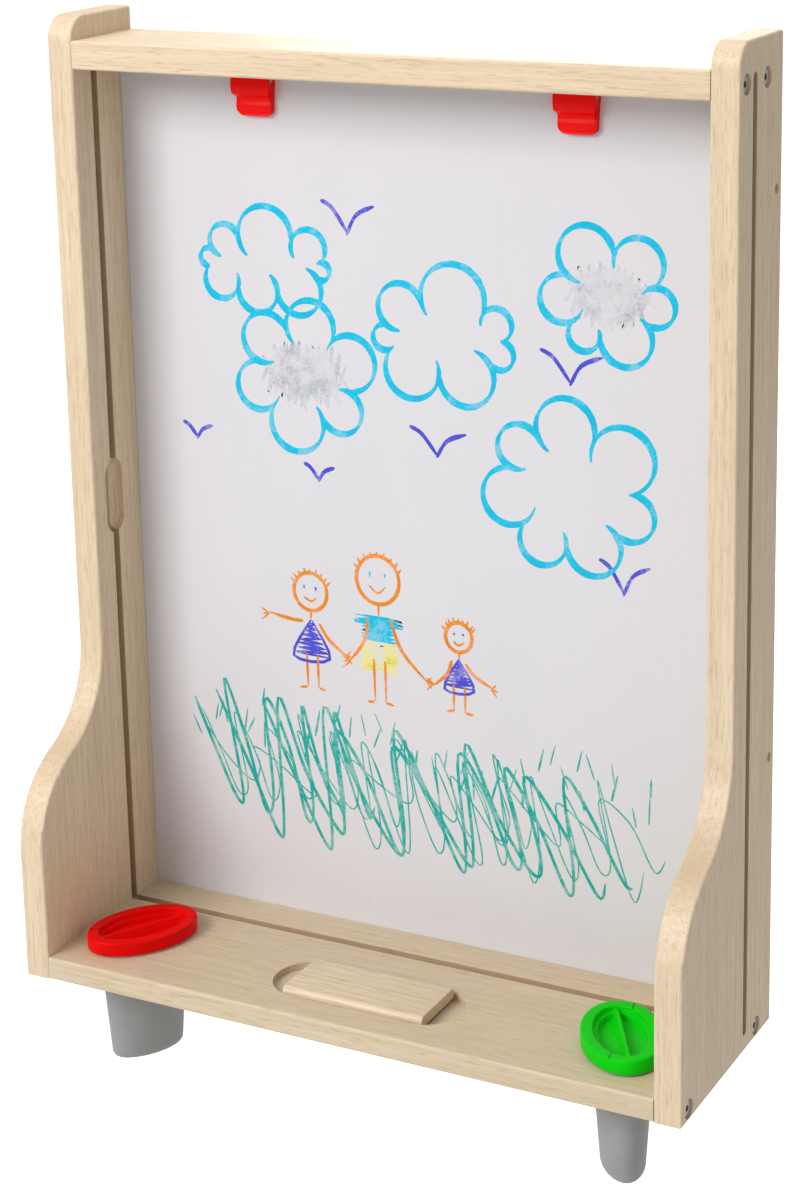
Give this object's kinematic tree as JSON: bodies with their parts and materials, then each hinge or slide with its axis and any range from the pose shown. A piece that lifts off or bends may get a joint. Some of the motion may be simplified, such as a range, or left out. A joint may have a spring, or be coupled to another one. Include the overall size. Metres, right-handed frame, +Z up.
{
  "type": "kids easel",
  "caption": "Upright wooden easel top with S-curved sides, dry-erase board, spare-board slot, paper clips, and a tray with hanging lidded paint cups and an eraser.",
  "frame": {"origin": "centre of the tray's rear face, in the plane that rests against what the easel hangs on", "axes": "+X to the user's right across the board, +Y out of the back (the user stands on the -Y side), +Z up the board"},
  "size_m": [0.488, 0.156, 0.724],
  "materials": {
    "panel_wood": "clear satin lacquer over pale straight-grained hardwood",
    "rail_wood": "clear satin lacquer",
    "tray_wood": "clear satin lacquer",
    "eraser_wood": "clear satin lacquer",
    "board": "smooth wipe-clean white melamine",
    "felt": "dense black felt",
    "cup_plastic": "frosted, slightly see-through grey",
    "lid_red": "satin red",
    "lid_green": "satin green",
    "clip_red": "glossy red",
    "bolt_steel": "zinc plated",
    "nut_steel": "zinc plated",
    "pin_steel": "drawn bright",
    "spring_steel": "drawn spring wire",
    "screw_steel": "zinc plated"
  },
  "bodies": {
    "frame": {"side_panel_left": "panel_wood", "side_panel_right": "panel_wood", "top_rail": "rail_wood", "tray": "tray_wood", "dry_erase_board": "board", "bolt_top_front_left": "bolt_steel", "nut_top_front_left": "nut_steel", "bolt_top_rear_left": "bolt_steel", "nut_top_rear_left": "nut_steel", "bolt_low_front_left": "bolt_steel", "nut_low_front_left": "nut_steel", "bolt_low_rear_left": "bolt_steel", "nut_low_rear_left": "nut_steel", "bolt_top_front_right": "bolt_steel", "nut_top_front_right": "nut_steel", "bolt_top_rear_right": "bolt_steel", "nut_top_rear_right": "nut_steel", "bolt_low_front_right": "bolt_steel", "nut_low_front_right": "nut_steel", "bolt_low_rear_right": "bolt_steel", "nut_low_rear_right": "nut_steel", "clip_base_left": "clip_red", "clip_pin_left": "pin_steel", "clip_spring_left": "spring_steel", "clip_screw_outer_left": "screw_steel", "clip_screw_inner_left": "screw_steel", "clip_base_right": "clip_red", "clip_pin_right": "pin_steel", "clip_spring_right": "spring_steel", "clip_screw_outer_right": "screw_steel", "clip_screw_inner_right": "screw_steel"},
    "eraser": {"eraser_block": "eraser_wood", "eraser_felt": "felt"},
    "cup_left_body": {"cup_left": "cup_plastic"},
    "lid_left_body": {"lid_left": "lid_red"},
    "clip_left_body": {"clip_jaw_left": "clip_red"},
    "cup_right_body": {"cup_right": "cup_plastic"},
    "lid_right_body": {"lid_right": "lid_green"},
    "clip_right_body": {"clip_jaw_right": "clip_red"}
  },
  "joints": [
    {"name": "clip_left_open", "type": "hinge", "parent": "frame", "child": "clip_left_body", "pos_m": [-0.117, -0.0205, 0.6045], "axis": [-1, 0, 0], "range_deg": [0, 35], "stiffness_Nm_per_rad": 0.02, "springref_deg": -85.94},
    {"name": "clip_right_open", "type": "hinge", "parent": "frame", "child": "clip_right_body", "pos_m": [0.117, -0.0205, 0.6045], "axis": [-1, 0, 0], "range_deg": [0, 35], "stiffness_Nm_per_rad": 0.02, "springref_deg": -85.94},
    {"name": "cup_left_lift", "type": "slide", "parent": "frame", "child": "cup_left_body", "axis": [0, 0, 1], "range_m": [0, 0.09]},
    {"name": "cup_right_lift", "type": "slide", "parent": "frame", "child": "cup_right_body", "axis": [0, 0, 1], "range_m": [0, 0.09]},
    {"name": "lid_left_lift", "type": "slide", "parent": "cup_left_body", "child": "lid_left_body", "axis": [0, 0, 1], "range_m": [0, 0.03]},
    {"name": "lid_right_lift", "type": "slide", "parent": "cup_right_body", "child": "lid_right_body", "axis": [0, 0, 1], "range_m": [0, 0.03]},
    {"name": "eraser_lift", "type": "slide", "parent": "frame", "child": "eraser", "axis": [0, 0, 1], "range_m": [0, 0.05]}
  ]
}
